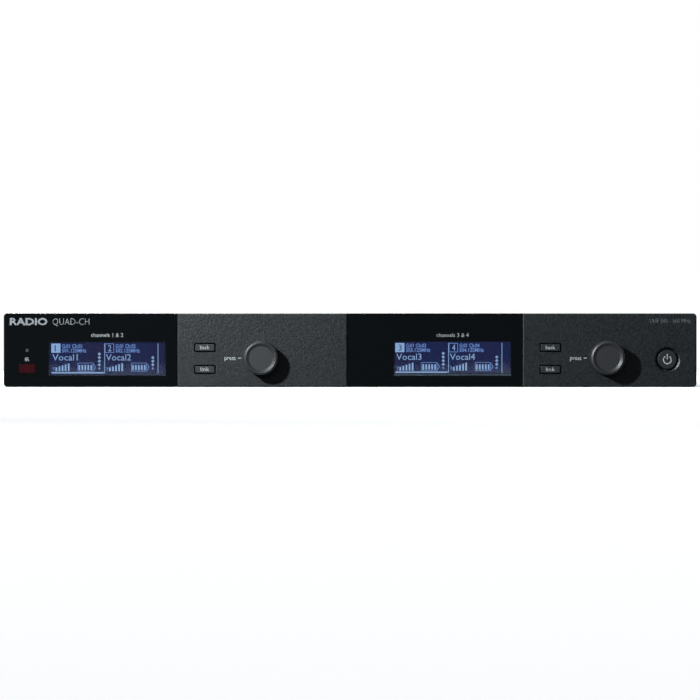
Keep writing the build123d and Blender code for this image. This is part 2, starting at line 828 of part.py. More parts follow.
def main_board():
    """Main board with the radio, audio and network circuits."""
    board = block(main_board_left, main_board_right, main_board_front, main_board_rear, board_z, board_top)
    cuts = [along_z(x, y, screw_radius + clearance, board_z, board_top) for x, y in main_board_holes()]
    return board - cuts


def supply_board():
    """Power supply board."""
    board = block(*supply_x, *supply_y, board_z, board_top)
    cuts = [along_z(x, y, screw_radius + clearance, board_z, board_top) for x, y in supply_board_holes()]
    return board - cuts


def standoff(x, y):
    """Clinched standoff under a board."""
    floor = 0.5
    post = along_z(x, y, standoff_radius, sheet, board_z)
    return post - along_z(x, y, pilot_radius, sheet + floor, board_z)


def supply_insulator():
    """Insulating sheet under the power supply board."""
    film_top = sheet + 0.4
    margin = 2.0  # the film is this much larger than the board all round
    hole_gap = 0.6
    x0, x1 = supply_x[0] - margin, supply_x[1] + margin
    film = block(x0, x1, supply_y[0] - margin, supply_y[1] + margin, sheet, film_top)
    hole_radius = standoff_radius + hole_gap
    return film - [along_z(x, y, hole_radius, sheet, film_top) for x, y in supply_board_holes()]


def radio_shield(n):
    """Folded shield can over one channel's radio section, with three rows of vent holes."""
    half_x, half_y, height = 17.0, 26.0, 6.5
    wall = 0.4
    hole_radius = 1.1
    x = xlr_x[n] - jack_step / 2
    y = main_board_front + 78.0
    can = block(x - half_x, x + half_x, y - half_y, y + half_y, board_top, board_top + height)
    can = fillet(can.edges().filter_by(Axis.Z), 1.2)
    inner_x, inner_y = half_x - wall, half_y - wall
    cuts = [block(x - inner_x, x + inner_x, y - inner_y, y + inner_y, board_top, board_top + height - wall)]
    for i in (-1, 0, 1):
        for j in range(-2, 3):
            cuts.append(along_z(x + i * 8, y + j * 8, hole_radius, board_top, board_top + height + 1))
    return can - cuts


def signal_chips():
    """The main board's larger chips: two processors, four converters and two memories."""
    row = main_board_front + 24.0
    converter_row = row + 100.5
    chips = []
    for x in (xlr_x[2] - 20.0, xlr_x[0] - 16.0):
        chips.append(block(x - 9, x + 9, row - 9, row + 9, board_top, board_top + 1.6))
        chips.append(block(x + 21, x + 31, row - 6, row + 6, board_top, board_top + 1.2))
    for x in xlr_x:
        y = converter_row
        chips.append(block(x - 18, x - 9, y - 4.5, y + 4.5, board_top, board_top + 1.2))
    return chips


supply_middle_x = sum(supply_x) / 2
supply_middle_y = sum(supply_y) / 2


def transformer():
    """Ferrite core and the wound bobbin through it."""
    x, y, z = supply_middle_x + 8, supply_middle_y, board_top
    core_bottom, core_top = z + 3, z + 25
    half, thickness, leg_half = 15, 5, 4
    core = block(x - half, x + half, y - thickness, y + thickness, core_bottom, core_top)
    window = block(x - 11, x + 11, y - thickness, y + thickness, z + 7, z + 21)
    leg = block(x - leg_half, x + leg_half, y - thickness, y + thickness, core_bottom, core_top)
    bobbin = block(x - 10.5, x + 10.5, y - 12, y + 12, z, z + 20.5)
    # The bobbin clears the core's lower yoke and its middle leg by a tenth of a millimetre.
    y0, y1 = y - thickness - slip, y + thickness + slip
    yoke_space = block(x - half, x + half, y0, y1, core_bottom - slip, z + 7 + slip)
    leg_space = block(x - leg_half - slip, x + leg_half + slip, y0, y1, z, core_top)
    return (core - window) + leg, bobbin - [yoke_space, leg_space]


def filter_capacitors():
    """Electrolytic capacitors of the power supply: one mains pair and three low-voltage ones."""
    x0 = supply_x[0]
    y0, y1 = supply_y
    cans = [along_z(x0 + 14 + n * 20, y1 - 18, 8.5, board_top, board_top + 25) for n in range(2)]
    cans += [along_z(x0 + 12 + n * 14, y0 + 18, 5.0, board_top, board_top + 16) for n in range(3)]
    return [fillet(can.edges().sort_by(Axis.Z)[-1], 0.8) for can in cans]


def supply_heatsink():
    """Finned aluminium heatsink of the power supply."""
    half_length, height, fin_thickness, fin_depth, fin_pitch = 24.0, 26.0, 1.5, 7.0, 7.75
    x0 = supply_x[0] + 3.0
    x1 = x0 + 2.5
    y0 = supply_middle_y - half_length
    top = board_top + height
    back = block(x0, x1, y0, supply_middle_y + half_length, board_top, top)
    fins = []
    for n in range(7):
        y = y0 + n * fin_pitch
        fins.append(block(x1, x1 + fin_depth, y, y + fin_thickness, board_top + 2, top))
    return back.fuse(*fins)


# ---------------------------------------------------------------- rear connectors
def xlr_screw_places():
    """x, z of the two screws of every XLR output, at opposite corners of its flange."""
    return [(x + i * xlr_screw_x, socket_z + i * xlr_screw_z) for x in xlr_x for i in (-1, 1)]


def xlr_shell(x):
    """Die-cast shell of one male XLR output: flange, cup and keyway rib."""
    back, face = rear_y - xlr_depth, rear_y + xlr_flange_thickness
    half_width, half_height = xlr_flange_width / 2, xlr_flange_height / 2
    z0, z1 = socket_z - half_height, socket_z + half_height
    flange = block(x - half_width, x + half_width, rear_y, face, z0, z1)
    flange = fillet(flange.edges().filter_by(Axis.Y), 3.0)
    flange = chamfer(flange.faces().sort_by(Axis.Y)[-1].edges(), 0.4)
    barrel = along_y(x, socket_z, xlr_shell_radius, back, face)
    cup = along_y(x, socket_z, xlr_cup_radius, back, face)
    bevel = 0.8
    mouth = Rot(-90, 0, 0) * Cone(xlr_cup_radius, xlr_cup_radius + bevel, bevel)
    holes = []
    for i in (-1, 1):
        hole_x, hole_z = x + i * xlr_screw_x, socket_z + i * xlr_screw_z
        holes.append(along_y(hole_x, hole_z, screw_radius + clearance, rear_y, face))
    return flange.fuse(barrel) - [cup, Pos(x, face - bevel / 2, socket_z) * mouth] - holes


def xlr_insert(x):
    """Insulating disc at the bottom of an XLR cup, with its body down to the board."""
    back = rear_y - xlr_depth
    half = 10.0
    disc = along_y(x, socket_z, xlr_cup_radius - nut_fit, back, back + xlr_disc)
    body = block(x - half, x + half, back - xlr_body_depth, back, board_top, socket_z + body_above_socket)
    return disc.fuse(body) - [pin.solid() for pin in xlr_pins(x)]


def xlr_pins(x):
    """Three contacts of one XLR output."""
    recess = 1.0  # the pins' tips lie this far inside the panel's face, and their feet in the insert
    pins = []
    for angle in (150, 30, 270):
        pin_x = x + xlr_pin_circle * cos(radians(angle))
        pin_z = socket_z + xlr_pin_circle * sin(radians(angle))
        pin = along_y(pin_x, pin_z, xlr_pin_radius, rear_y - xlr_depth + recess, rear_y - recess)
        pins.append(fillet(pin.faces().sort_by(Axis.Y)[-1].edges(), xlr_pin_radius / 2))
    return pins


def jack_body(x):
    """Quarter-inch output jack: a moulded body, a threaded bush and the bore."""
    back, face = rear_y - jack_bore_depth, panel_front - panel_gap
    half = jack_width / 2
    end_wall = 2.0
    body = block(x - half, x + half, back, face, board_top, socket_z + body_above_socket)
    bush = along_y(x, socket_z, jack_bush_radius, face - 1, rear_y + jack_bush_proud)
    bush = chamfer(bush.faces().sort_by(Axis.Y)[-1].edges(), 0.4)
    return body.fuse(bush) - along_y(x, socket_z, jack_bore_radius, back + end_wall, rear_y + jack_bush_proud)


def hexagon_nut(x, z, apothem, bore_radius):
    """A hexagon nut against the rear panel's outer face."""
    nut = extrude(RegularPolygon(apothem, 6, major_radius=False), nut_thickness)
    nut = nut - Pos(0, 0, nut_thickness / 2) * Cylinder(bore_radius, 2 * nut_thickness)
    return placed(nut, (x, rear_y, z), (0, 1, 0))


def jack_nut(x):
    """Hexagon nut that holds one phone jack to the rear panel."""
    return hexagon_nut(x, socket_z, jack_nut_radius, jack_bush_radius + nut_fit)


antenna_end = rear_y + antenna_thread_length + antenna_length
antenna_bore_radius = antenna_radius - antenna_wall


def antenna_jack(x):
    """Bayonet antenna socket with its two lugs, threaded flange and board block."""
    face = panel_front - panel_gap
    half = antenna_body
    lug_radius, lug_proud, lug_setback = 1.0, 0.9, 4.6
    body = block(x - half, x + half, panel_front - antenna_body_depth, face, board_top, antenna_z + half)
    thread = along_y(x, antenna_z, antenna_thread_radius, face - 1, rear_y + antenna_thread_length)
    barrel = along_y(x, antenna_z, antenna_radius, rear_y, antenna_end)
    barrel = chamfer(barrel.faces().sort_by(Axis.Y)[-1].edges(), 0.4)
    reach = antenna_radius + lug_proud
    lugs = along_x(antenna_end - lug_setback, antenna_z, lug_radius, x - reach, x + reach)
    shell = body.fuse(thread, barrel, lugs)
    return shell - along_y(x, antenna_z, antenna_bore_radius, panel_front, antenna_end)


def antenna_contact(x):
    """Insulator and centre contact of one antenna socket, moulded as one piece."""
    step = panel_front + 5.0
    sleeve_radius, contact_bore, recess = 2.4, 0.8, 3.0
    outer = along_y(x, antenna_z, antenna_bore_radius - nut_fit, panel_front, step)
    sleeve = along_y(x, antenna_z, sleeve_radius, step, antenna_end - recess)
    return outer.fuse(sleeve) - along_y(x, antenna_z, contact_bore, step, antenna_end)


def antenna_nut(x):
    """Hexagon nut that holds one antenna socket to the rear panel."""
    return hexagon_nut(x, antenna_z, antenna_nut_radius, antenna_thread_radius + nut_fit)


network_port_x = [network_x + i * network_port_pitch / 2 for i in (-1, 1)]
network_port_bottom = network_z - network_port_height / 2 + network_port_lift
network_port_top = network_port_bottom + network_port_height


def network_jack():
    """Twin network socket in one shell, each port with the slot for its plug's latch below."""
    x0, x1 = network_x - network_half, network_x + network_half
    face = rear_y + 0.6
    shell = block(x0, x1, rear_y - network_shell_depth, face, board_top, network_shell_top)
    bottom = rear_y - network_depth
    latch_z = network_port_bottom - network_port_lift - network_latch_depth
    half, latch_half = network_port_width / 2, network_latch_half
    cuts = []
    for x in network_port_x:
        cuts.append(block(x - half, x + half, bottom, face, network_port_bottom, network_port_top))
        cuts.append(block(x - latch_half, x + latch_half, bottom, face, latch_z, network_port_bottom))
    return shell - cuts


def network_contacts():
    """Eight sprung contacts in each of the two network sockets."""
    pitch, half_width, thickness, roof_gap = 1.02, 0.22, 0.4, 0.6
    top = network_port_top - roof_gap
    y0, y1 = rear_y - network_depth, rear_y - 6.0
    wires = []
    for port_x in network_port_x:
        for n in range(8):
            x = port_x + (n - 3.5) * pitch
            wires.append(block(x - half_width, x + half_width, y0, y1, top - thickness, top))
    return wires


def inlet_outline(width, height, corner):
    """Flat outline of the mains inlet: a rectangle with its two lower corners cut off."""
    return make_face(
        Polyline(
            (-width / 2, -height / 2 + corner), (-width / 2 + corner, -height / 2),
            (width / 2 - corner, -height / 2), (width / 2, -height / 2 + corner),
            (width / 2, height / 2), (-width / 2, height / 2), close=True,
        )
    )


def inlet_slab(width, height, corner, y0, y1):
    """The inlet outline carried from y0 to y1."""
    plane = Plane(origin=(inlet_x, y1, inlet_z), x_dir=(1, 0, 0), z_dir=(0, -1, 0))
    return extrude(plane * inlet_outline(width, height, corner), y1 - y0)


def mains_inlet():
    """Mains inlet: flange, cup and the block that carries its blades."""
    flange_thickness, end_wall = 2.0, 7.0
    half_width, half_height = inlet_flange_width / 2, inlet_flange_height / 2
    face = rear_y + flange_thickness
    bottom = face - inlet_cavity_depth
    x0, x1 = inlet_x - half_width, inlet_x + half_width
    flange = block(x0, x1, rear_y, face, inlet_z - half_height, inlet_z + half_height)
    flange = fillet(flange.edges().filter_by(Axis.Y), 1.5)
    flange = fillet(flange.faces().sort_by(Axis.Y)[-1].edges(), 0.5)
    cup = inlet_slab(
        inlet_cavity_width + 2 * inlet_wall, inlet_cavity_height + 2 * inlet_wall, inlet_corner,
        bottom - end_wall, rear_y + 1,
    )
    cavity = inlet_slab(inlet_cavity_width, inlet_cavity_height, inlet_corner, bottom, face)
    return flange.fuse(cup) - [cavity] - [blade.solid() for blade in inlet_blades()]


def inlet_blades():
    """Three blades of the mains inlet: line, neutral and earth."""
    width, height = 2.0, 4.0
    blades = []
    for dx, dz in blade_places:
        x, z = inlet_x + dx, inlet_z + dz
        y0, y1 = blade_back, rear_y - 1.0
        blade = block(x - width / 2, x + width / 2, y0, y1, z - height / 2, z + height / 2)
        blades.append(chamfer(blade.faces().sort_by(Axis.Y)[-1].edges(), width / 4))
    return blades


# ---------------------------------------------------------------- ribbon and wires
def front_ribbon():
    """Flat cable from the front board to the main board, folded over the front bracket's lower lip."""
    plug_half = 2.4
    crest_z = 24.0
    socket_end = front_y + board_back + 2.2
    plug_y = main_board_front + 10.0
    bracket_back = case_front + sheet
    route = Polyline(
        (socket_end, ribbon_z), (bracket_back + 6.0, ribbon_z), (bracket_back + 9.0, crest_z),
        (plug_y - 4.0, crest_z), (plug_y, board_top + plug_height),
    )
    outline = offset(route, ribbon_thickness / 2, kind=Kind.ARC, side=Side.BOTH)
    strip = extrude(make_face(outline), ribbon_width)
    # The route is drawn as (y, z) in the XY plane, then turned so that its width runs along X.
    upright = Plane(origin=(ribbon_x - ribbon_width / 2, 0, 0), x_dir=(0, 1, 0), z_dir=(1, 0, 0))
    x0 = ribbon_x - ribbon_width / 2 - plug_side
    x1 = ribbon_x + ribbon_width / 2 + plug_side
    plug = block(x0, x1, plug_y - plug_half, plug_y + plug_half, board_top, board_top + plug_height)
    socket = block(x0, x1, front_y + board_back, socket_end, ribbon_z - plug_half, ribbon_z + plug_half)
    return [upright.location * strip, plug, socket]


def wire(points, radii, radius):
    """A round wire through points, with tangent arcs at its corners."""
    path = FilletPolyline(*points, radius=radii)
    start = path @ 0
    direction = path % 0
    return sweep(Plane(origin=start, z_dir=direction) * Circle(radius), path=path)


def supply_harness():
    """Four wires in an arch from the supply board to the main board."""
    wire_radius, pitch, bend = 0.9, 2.4, 3.0
    foot_z, crest_z = board_top + slip, board_top + 14.0
    wires = []
    for n in range(4):
        y = supply_y[0] + 22.0 + n * pitch
        route = [
            (supply_x[0] + 3.0, y, foot_z), (supply_x[0] + 2.0, y, crest_z),
            (main_board_right - 8.0, y, crest_z), (main_board_right - 9.0, y, foot_z),
        ]
        wires.append(wire(route, bend, wire_radius))
    return wires


def mains_wires():
    """Line, neutral and earth wires from the inlet's blades to the supply board."""
    wire_radius, bend = 1.1, 3.0
    end_y = supply_y[1] - 6.0
    wires = []
    for dx, dz in blade_places:
        x, z = inlet_x + dx, inlet_z + dz
        route = [
            (x, blade_back, z), (x, blade_back - 9.0, z),
            (x, end_y, z + 3.0), (x, end_y - 0.5, board_top + slip),
        ]
        wires.append(wire(route, bend, wire_radius))
    return wires


# ---------------------------------------------------------------- fasteners
def case_screws():
    """Countersunk screws through lid, base and sides into the lips behind them."""
    screw = flat_head_screw(3 * sheet)
    places = top_screw_places() + bottom_screw_places() + side_screw_places()
    return [placed(screw, *place) for place in places]


def fascia_screws():
    """Pan-head screws from inside the case, through the front bracket, into the fascia's long posts."""
    screw = pan_head_screw(sheet + pilot_depth - screw_end_gap)
    return [placed(screw, (x, case_front + sheet, z), (0, 1, 0)) for x, z in fascia_posts()]


def board_screws():
    """Pan-head screws that hold the front board, main board and supply board."""
    front_screw = pan_head_screw(board_thickness + board_pilot_depth - screw_end_gap)
    floor_screw = pan_head_screw(board_thickness + standoff_height - screw_end_gap)
    screws = [placed(front_screw, (x, front_y + board_back, z), (0, 1, 0)) for x, z in board_posts()]
    for x, y in main_board_holes() + supply_board_holes():
        screws.append(placed(floor_screw, (x, y, board_top), (0, 0, 1)))
    return screws


def connector_screws():
    """Two pan-head screws for each XLR output."""
    screw = pan_head_screw(xlr_flange_thickness + rear_sheet + board_rear_gap / 2)
    face = rear_y + xlr_flange_thickness
    return [placed(screw, (x, face, z), (0, 1, 0)) for x, z in xlr_screw_places()]


# ---------------------------------------------------------------- assembly
parts["front_fascia"] = front_fascia()
for side in window_spans:
    parts[f"display_window_{side}"] = display_window(side)
    parts[f"lcd_frame_{side}"] = lcd_frame(side)
    parts[f"lcd_glass_{side}"] = lcd_inside(side, glass_front, glass_back)
parts["window_masks"] = group(window_mask(side) for side in window_spans)
parts["lcd_backlights"] = group(lcd_inside(side, glass_back, board_front) for side in window_spans)
parts["infrared_window"] = infrared_window()
parts["infrared_transceiver"] = infrared_transceiver()
parts["status_light_pipe"] = status_light_pipe()
parts["front_board"] = front_board()
for side, start in keypad_starts.items():
    axis_x = start + knob_offset
    parts[f"encoder_housing_{side}"] = encoder_housing(axis_x)
    parts[f"encoder_shaft_{side}"] = encoder_shaft(axis_x)
    parts[f"encoder_plunger_{side}"] = encoder_plunger(axis_x)
    parts[f"knob_{side}"] = knob(axis_x)
    for name, level in key_levels.items():
        parts[f"{name}_key_{side}"] = key(start + key_offset, level)
parts["power_button"] = power_button()
parts["push_switches"] = group(push_switch(x, z) for x, z in switch_places())

parts["chassis_base"] = chassis_base()
parts["top_cover"] = top_cover()
parts["front_bracket"] = front_bracket()
parts["rear_panel"] = rear_panel()
parts["ear_nuts"] = group(ear_nut(sign, y, z) for sign in (-1, 1) for y, z in ear_holes)

parts["board_standoffs"] = group(standoff(x, y) for x, y in main_board_holes() + supply_board_holes())
parts["main_board"] = main_board()
parts["radio_shields"] = group(radio_shield(n) for n in range(channels))
parts["signal_chips"] = group(signal_chips())
parts["supply_board"] = supply_board()
parts["supply_insulator"] = supply_insulator()
parts["transformer"] = group(transformer())
parts["filter_capacitors"] = group(filter_capacitors())
parts["supply_heatsink"] = supply_heatsink()

parts["xlr_shells"] = group(xlr_shell(x) for x in xlr_x)
parts["xlr_inserts"] = group(xlr_insert(x) for x in xlr_x)
parts["xlr_pins"] = group(pin for x in xlr_x for pin in xlr_pins(x))
parts["jack_bodies"] = group(jack_body(x) for x in jack_x)
parts["jack_nuts"] = group(jack_nut(x) for x in jack_x)
parts["antenna_jacks"] = group(antenna_jack(x) for x in antenna_x)
parts["antenna_contacts"] = group(antenna_contact(x) for x in antenna_x)
parts["antenna_nuts"] = group(antenna_nut(x) for x in antenna_x)
parts["network_jack"] = network_jack()
parts["network_contacts"] = group(network_contacts())
parts["mains_inlet"] = mains_inlet()
parts["mains_inlet_blades"] = group(inlet_blades())

parts["front_ribbon"] = group(front_ribbon())
parts["supply_harness"] = group(supply_harness())
parts["mains_wires"] = group(mains_wires())
parts["case_screws"] = group(case_screws())
parts["fascia_screws"] = group(fascia_screws())
parts["board_screws"] = group(board_screws())
parts["connector_screws"] = group(connector_screws())

os.makedirs("parts", exist_ok=True)
for name, shape in parts.items():
    export_step(shape, f"parts/{name}.step")
    size = shape.bounding_box().size
    print(f"{name:24s} {len(shape.solids()):3d} solids  {size.X:8.2f} {size.Y:8.2f} {size.Z:8.2f}")
print(len(parts), "nodes")
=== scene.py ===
"""The looks of a four-channel wireless receiver, one rack unit high, built around its CAD model.

Metres, in the CAD model's own frame: the front faces -Y, +X is to the right seen from the front, +Z is up.
"""

from math import radians

import bmesh
import bpy
import numpy as np
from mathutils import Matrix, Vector


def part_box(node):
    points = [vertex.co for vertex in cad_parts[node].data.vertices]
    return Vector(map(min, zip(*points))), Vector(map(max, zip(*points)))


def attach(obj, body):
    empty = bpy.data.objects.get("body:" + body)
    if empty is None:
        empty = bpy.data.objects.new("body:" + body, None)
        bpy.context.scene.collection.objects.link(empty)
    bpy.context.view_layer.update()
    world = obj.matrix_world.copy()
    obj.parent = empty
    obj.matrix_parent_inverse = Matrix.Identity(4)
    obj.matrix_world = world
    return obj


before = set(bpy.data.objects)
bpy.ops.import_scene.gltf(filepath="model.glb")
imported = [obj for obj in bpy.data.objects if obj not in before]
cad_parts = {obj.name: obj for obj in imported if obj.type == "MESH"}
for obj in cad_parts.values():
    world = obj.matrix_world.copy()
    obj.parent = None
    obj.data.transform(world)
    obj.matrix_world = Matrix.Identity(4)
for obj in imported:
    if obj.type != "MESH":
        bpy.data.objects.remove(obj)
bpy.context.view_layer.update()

# ---------------------------------------------------------------------------------------- camera
# The front is looked at straight on, from far off, so that neither the sides nor the top of the case show.
# The case's width fills the picture's, but for a few millimetres at each side.
mm = 0.001
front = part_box("front_fascia")
front_y = front[0].y
camera_distance = 2.4
camera_height = 22.1 * mm
camera_shift = -0.1 * mm
margin = 2.07 * mm
case_width = front[1].x - front[0].x
camera_data = bpy.data.cameras.new("front_camera")
camera_data.lens = camera_data.sensor_width * camera_distance / (case_width + 2 * margin)
camera = bpy.data.objects.new("front_camera", camera_data)
camera.location = (camera_shift, front_y - camera_distance, front[0].z + camera_height)
camera.rotation_euler = (radians(90), 0.0, 0.0)
bpy.context.scene.collection.objects.link(camera)
bpy.context.scene.camera = camera
bpy.context.scene.view_settings.view_transform = "Standard"


# ---------------------------------------------------------------------------------------- studio
# A white floor and a white surround. One small lamp high on the left gives the dials their long, clean
# shadows. Soft boxes behind and at the sides and a wide sun keep the other sides readable, and one more box
# whitens the floor.
def linear(code):
    """The linear red, green, blue and alpha of an sRGB hex code: each channel's sRGB curve, undone."""
    channels = np.array([int(code[i : i + 2], 16) for i in (1, 3, 5)]) / 255
    low, high = channels / 12.92, ((channels + 0.055) / 1.055) ** 2.4
    return (*np.where(channels <= 0.04045, low, high).tolist(), 1.0)


def add_node(tree, kind, inputs=(), **settings):
    """Adds one shader node. inputs pairs its sockets with a number, a colour or another node's output."""
    made = tree.nodes.new(kind)
    for key, value in settings.items():
        setattr(made, key, value)
    for socket, value in dict(inputs).items():
        if isinstance(value, bpy.types.NodeSocket):
            tree.links.new(value, made.inputs[socket])
        else:
            made.inputs[socket].default_value = value
    return made


def lamp(name, place, target, size, power, colour="#ffffff"):
    """A square area lamp at a place, turned towards a target: its side in metres and its power in watts."""
    data = bpy.data.lights.new(name, "AREA")
    data.size = size
    data.energy = power
    data.color = linear(colour)[:3]
    made = bpy.data.objects.new(name, data)
    made.location = place
    made.rotation_euler = (Vector(target) - Vector(place)).to_track_quat("-Z", "Y").to_euler()
    made.visible_camera = False
    bpy.context.scene.collection.objects.link(made)


case_middle_z = 22 * mm
panel_centre = Vector((0.0, front_y, case_middle_z))
case_centre = Vector((0.0, 0.0, case_middle_z))
floor_middle = Vector((0.0, -1.95, 0.0))
key_place = panel_centre + Vector((-0.46, -0.73, 0.33))
lamp("key_lamp", key_place, panel_centre, size=0.045, power=11.9, colour="#f7fcff")
lamp("left_box", (-1.5, 0.25, 0.9), case_centre, size=0.9, power=12)
lamp("right_box", (1.5, 0.45, 0.8), case_centre, size=0.9, power=12)
lamp("rear_box", (-0.45, 1.2, 1.4), case_centre, size=0.8, power=30)
lamp("front_floor_box", floor_middle + Vector((0.0, 0.0, 0.3)), floor_middle, size=1.3, power=2.8)

overhead = bpy.data.lights.new("overhead", "SUN")
overhead.energy = 1.0
overhead.angle = radians(20)
overhead_object = bpy.data.objects.new("overhead", overhead)
overhead_object.rotation_euler = (radians(-25), 0.0, 0.0)
bpy.context.scene.collection.objects.link(overhead_object)

surround = bpy.data.worlds.new("surround")
surround.use_nodes = True
bpy.context.scene.world = surround
tree = surround.node_tree
tree.nodes.clear()
is_camera = add_node(tree, "ShaderNodeLightPath").outputs["Is Camera Ray"]
dim = add_node(tree, "ShaderNodeBackground", {"Color": linear("#c4dcf0"), "Strength": 0.06})
white = add_node(tree, "ShaderNodeBackground", {"Color": linear("#ffffff"), "Strength": 1.0})
shown = add_node(tree, "ShaderNodeMixShader", {0: is_camera, 1: dim.outputs[0], 2: white.outputs[0]})
add_node(tree, "ShaderNodeOutputWorld", {"Surface": shown.outputs[0]})

floor_side, floor_front, floor_back = 4.0, -4.0, 2.1
floor_mesh = bpy.data.meshes.new("floor")
floor_corners = [
    (-floor_side, floor_front, 0.0), (floor_side, floor_front, 0.0),
    (floor_side, floor_back, 0.0), (-floor_side, floor_back, 0.0),
]
floor_mesh.from_pydata(floor_corners, [], [(0, 1, 2, 3)])
floor = bpy.data.objects.new("floor", floor_mesh)
bpy.context.scene.collection.objects.link(floor)
floor_paint = bpy.data.materials.new("white_floor_paint")
floor_paint.use_nodes = True
floor_shader = floor_paint.node_tree.nodes["Principled BSDF"]
floor_shader.inputs["Base Color"].default_value = linear("#f4f5f6")
floor_shader.inputs["Roughness"].default_value = 0.9
floor_shader.inputs["Specular IOR Level"].default_value = 0.0
floor_shader.inputs["Emission Color"].default_value = linear("#f4f5f6")
floor_shader.inputs["Emission Strength"].default_value = 0.2
floor_mesh.materials.append(floor_paint)
floor.visible_glossy = False
floor.visible_diffuse = False


# ---------------------------------------------------------------------------------------- fascia
# One injection moulding in charcoal ABS. Its two raised keypads keep the fine grain of a spark-eroded mould,
# which scatters light into small speckles; the skirt around the edge is the same plastic.
def new_finish(name, colour, roughness, **more):
    """A material on one Principled shader: its sRGB hex colour, its roughness and any further sockets.

    In a further socket's name an underscore stands for a space.
    """
    made = bpy.data.materials.new(name)
    made.use_nodes = True
    shader = made.node_tree.nodes["Principled BSDF"]
    shader.inputs["Base Color"].default_value = linear(colour)
    shader.inputs["Roughness"].default_value = roughness
    for socket, value in more.items():
        shader.inputs[socket.replace("_", " ")].default_value = value
    return made


def grain(material, size, depth, colours=None, stretch=(1, 1, 1), detail=2.0):
    """Gives a material a noise relief of a grain size and depth in metres, on Object coordinates.

    colours, if given, are the sRGB hex codes of the grain's hollows and crests. Returns the noise node.
    """
    tree = material.node_tree
    shader = tree.nodes["Principled BSDF"]
    place = add_node(tree, "ShaderNodeTexCoord").outputs["Object"]
    per_grain = tuple(share / size for share in stretch)
    spread = add_node(tree, "ShaderNodeMapping", {"Vector": place, "Scale": per_grain}).outputs[0]
    roughened = {"Vector": spread, "Scale": 1.0, "Detail": detail, "Roughness": 0.6}
    noise = add_node(tree, "ShaderNodeTexNoise", roughened)
    bump = add_node(tree, "ShaderNodeBump", {"Height": noise.outputs[0], "Distance": depth, "Strength": 1.0})
    tree.links.new(bump.outputs[0], shader.inputs["Normal"])
    if colours:
        ramp = add_node(tree, "ShaderNodeValToRGB", {"Fac": noise.outputs[0]})
        for stop, height, code in zip(ramp.color_ramp.elements, (0.3, 0.7), colours):
            stop.position = height
            stop.color = linear(code)
        tree.links.new(ramp.outputs[0], shader.inputs["Base Color"])
    return noise


def dress(material, *names):
    """Gives CAD nodes a material in every slot of theirs."""
    for name in names:
        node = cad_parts[name]
        if not node.material_slots:
            node.data.materials.append(material)
        for slot in node.material_slots:
            slot.material = material


# The real grain is about a third of a millimetre. It is drawn three times as coarse, or it would not show.
keypad_grain = 1.05 * mm
spark_eroded_abs = new_finish("spark_eroded_abs", "#171b1e", roughness=0.37)
# The grain's hollows are painted darker and its crests lighter: painted shade and painted highlight that
# deepen the speckles of light, while the relief itself is a bump.
grain(spark_eroded_abs, size=keypad_grain, depth=0.14 * mm, colours=("#0b0e10", "#272c2e"))
dress(spark_eroded_abs, "front_fascia")

# ---------------------------------------------------------------------------------------- windows
# Polished clear acrylic panes, printed black on the back except over the displays. The print lies behind the
# gloss, so the panes read as one deep black with sharp reflections.
polished_acrylic = new_finish(
    "polished_acrylic", "#cfe3f0", roughness=0.02, IOR=1.49, Transmission_Weight=0.995
)
dress(polished_acrylic, "display_window_left", "display_window_right")

# Screen ink is a deep, even black without gloss of its own.
black_print = new_finish("black_screen_print", "#0a1217", roughness=0.45)
grain(black_print, size=0.4 * mm, depth=0.01 * mm)
dress(black_print, "window_masks")

# Dyed acrylic looks almost black, with a dark red glow.
red_filter = new_finish("deep_red_filter_acrylic", "#2e0b11", roughness=0.08, IOR=1.49, Coat_Weight=0.4)
grain(red_filter, size=2.5 * mm, depth=0.0, colours=("#260b12", "#380b10"))
dress(red_filter, "infrared_window")

# The pipe's frosted end scatters light, so it looks a dull grey while unlit.
pipe_acrylic = new_finish("frosted_light_pipe_acrylic", "#343a3e", roughness=0.3, IOR=1.49)
grain(pipe_acrylic, size=0.3 * mm, depth=0.01 * mm)
dress(pipe_acrylic, "status_light_pipe")

# ---------------------------------------------------------------------------------------- displays
# A tinned steel frame holds each display. Its picture is a blue negative: a dark blue field with pale blue
# marks for two channels side by side. Here the marks are thin closed solids on the glass.

# Rolled sheet, tinned: a soft grey sheen drawn out along the rolling.
tinned_steel = new_finish("tinned_steel_sheet", "#555b5f", roughness=0.38, Metallic=1.0)
grain(tinned_steel, size=0.5 * mm, depth=0.005 * mm, stretch=(0.15, 1, 1))
dress(tinned_steel, "lcd_frame_left", "lcd_frame_right", "radio_shields")

# Smooth float glass over a dark picture: a sharp gloss and a dark blue depth.
display_glass = new_finish("display_glass", "#10142a", roughness=0.05, IOR=1.5)
grain(display_glass, size=6.0 * mm, depth=0.0, colours=("#0e1226", "#121730"))
dress(display_glass, "lcd_glass_left", "lcd_glass_right")

# A white diffusing plate, even and slightly satin.
light_guide = new_finish("white_light_guide_acrylic", "#dfe3e8", roughness=0.4)
grain(light_guide, size=1.0 * mm, depth=0.01 * mm)
dress(light_guide, "lcd_backlights")


def prism(outline, near, far):
    """Points and faces of a closed solid: an outline in x and z, carried from y near to y far.

    The outline's points run anticlockwise as seen from the front.
    """
    outline = np.asarray(outline, float)
    count = len(outline)
    ring = np.arange(count)
    after = np.roll(ring, -1)
    layers = [np.column_stack([outline[:, 0], np.full(count, y), outline[:, 1]]) for y in (near, far)]
    sides = np.column_stack([ring, ring + count, after + count, after])
    faces = [ring.tolist(), (ring[::-1] + count).tolist(), *sides.tolist()]
    return np.concatenate(layers), faces


def bar(x0, x1, z0, z1, near, far):
    """A rectangular bar between two corners in x and z."""
    return prism([(x0, z0), (x1, z0), (x1, z1), (x0, z1)], near, far)


